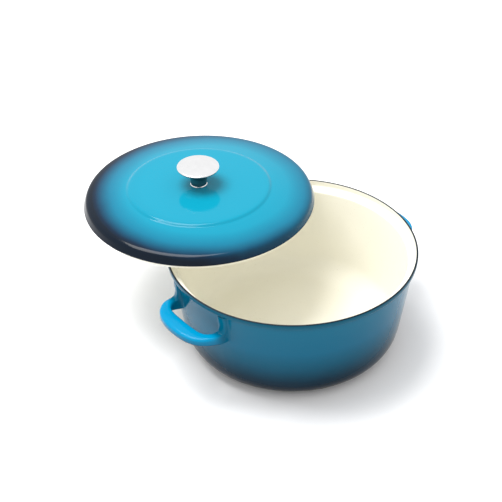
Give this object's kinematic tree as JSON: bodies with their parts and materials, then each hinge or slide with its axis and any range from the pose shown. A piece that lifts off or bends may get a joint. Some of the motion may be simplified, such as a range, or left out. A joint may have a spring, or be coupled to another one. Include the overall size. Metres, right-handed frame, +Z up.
{
  "type": "dutch oven",
  "caption": "Round enamelled cast iron dutch oven with two loop handles and a domed lid with a steel mushroom knob, lid carried off beside the mouth.",
  "frame": {"origin": "centre of the pot's flat base, on the surface it stands on", "axes": "+Z up along the pot's axis, +X towards one loop handle and -X towards the other"},
  "size_m": [0.329, 0.3967, 0.1717],
  "materials": {
    "pot_enamel": "cast iron in glossy blue enamel outside and cream enamel inside, dark bare rim",
    "lid_enamel": "cast iron in glossy blue enamel shading to navy at the edge, cream enamel below",
    "polished_steel": "polished stainless steel",
    "plain_steel": "plain stainless steel"
  },
  "bodies": {
    "pot": {"pot": "pot_enamel"},
    "lid": {"lid": "lid_enamel", "knob_screw": "plain_steel", "spring_washer": "plain_steel"},
    "knob": {"knob": "polished_steel"}
  },
  "joints": [
    {"name": "lid_carry", "type": "slide", "parent": "pot", "child": "lid", "axis": [0.1977, -0.9803, 0], "range_m": [-0.14, 0.1323]},
    {"name": "knob_turn", "type": "hinge", "parent": "lid", "child": "knob", "pos_m": [-0.02615, 0.12969, 0.14616], "axis": [0, 0, 1], "continuous": true}
  ]
}
